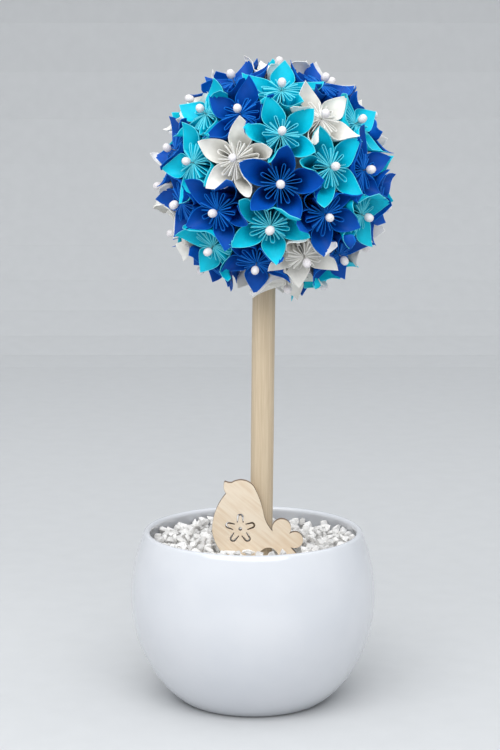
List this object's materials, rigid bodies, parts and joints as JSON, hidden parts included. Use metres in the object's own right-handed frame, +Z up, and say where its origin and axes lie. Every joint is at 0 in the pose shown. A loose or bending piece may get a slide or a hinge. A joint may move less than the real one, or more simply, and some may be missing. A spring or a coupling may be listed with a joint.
{
  "type": "kusudama paper ball topiary",
  "caption": "Ball of folded paper flowers in turquoise, blue and white on a wooden stem, standing in a round white glazed pot with pale gravel and a small plywood bird.",
  "frame": {"origin": "centre of the pot's foot, on the surface that it stands on", "axes": "+Z up along the stem; the bird and the pictured side face -Y"},
  "size_m": [0.1373, 0.1276, 0.3315],
  "materials": {
    "white_glaze": "gloss",
    "set_plaster": "matte",
    "marble_chips": "matte",
    "stem_wood": "satin",
    "plywood": "matte",
    "white_foam": "matte",
    "white_pearl": "satin",
    "turquoise_paper": "matte",
    "blue_paper": "matte",
    "white_paper": "matte"
  },
  "bodies": {
    "root": {"flower_01_white": "white_paper", "flower_02_blue": "blue_paper", "flower_03_turquoise": "turquoise_paper", "flower_04_blue": "blue_paper", "flower_05_white": "white_paper", "flower_06_turquoise": "turquoise_paper", "flower_07_blue": "blue_paper", "flower_08_white": "white_paper", "flower_09_turquoise": "turquoise_paper", "flower_10_blue": "blue_paper", "flower_11_turquoise": "turquoise_paper", "flower_12_blue": "blue_paper", "flower_13_turquoise": "turquoise_paper", "flower_14_white": "white_paper", "flower_15_turquoise": "turquoise_paper", "flower_16_blue": "blue_paper", "flower_17_white": "white_paper", "flower_18_blue": "blue_paper", "flower_19_blue": "blue_paper", "flower_20_blue": "blue_paper", "flower_21_blue": "blue_paper", "flower_22_turquoise": "turquoise_paper", "flower_23_blue": "blue_paper", "flower_24_white": "white_paper", "flower_25_turquoise": "turquoise_paper", "flower_26_turquoise": "turquoise_paper", "flower_27_blue": "blue_paper", "flower_28_blue": "blue_paper", "flower_29_white": "white_paper", "flower_30_blue": "blue_paper", "flower_31_turquoise": "turquoise_paper", "flower_32_white": "white_paper", "flower_33_white": "white_paper", "flower_34_turquoise": "turquoise_paper", "flower_35_turquoise": "turquoise_paper", "flower_36_turquoise": "turquoise_paper", "flower_37_blue": "blue_paper", "flower_38_white": "white_paper", "flower_39_turquoise": "turquoise_paper", "flower_40_white": "white_paper", "flower_41_turquoise": "turquoise_paper", "flower_42_blue": "blue_paper", "flower_43_blue": "blue_paper", "flower_44_white": "white_paper", "flower_45_blue": "blue_paper", "flower_46_white": "white_paper", "flower_47_turquoise": "turquoise_paper", "flower_48_white": "white_paper", "flower_49_blue": "blue_paper", "flower_50_turquoise": "turquoise_paper", "flower_51_blue": "blue_paper", "flower_52_blue": "blue_paper", "flower_53_turquoise": "turquoise_paper", "foam_core": "white_foam", "gravel": "marble_chips", "pearl_pins": "white_pearl", "plaster_fill": "set_plaster", "plywood_bird": "plywood", "pot": "white_glaze", "stem": "stem_wood"}
  },
  "joints": []
}
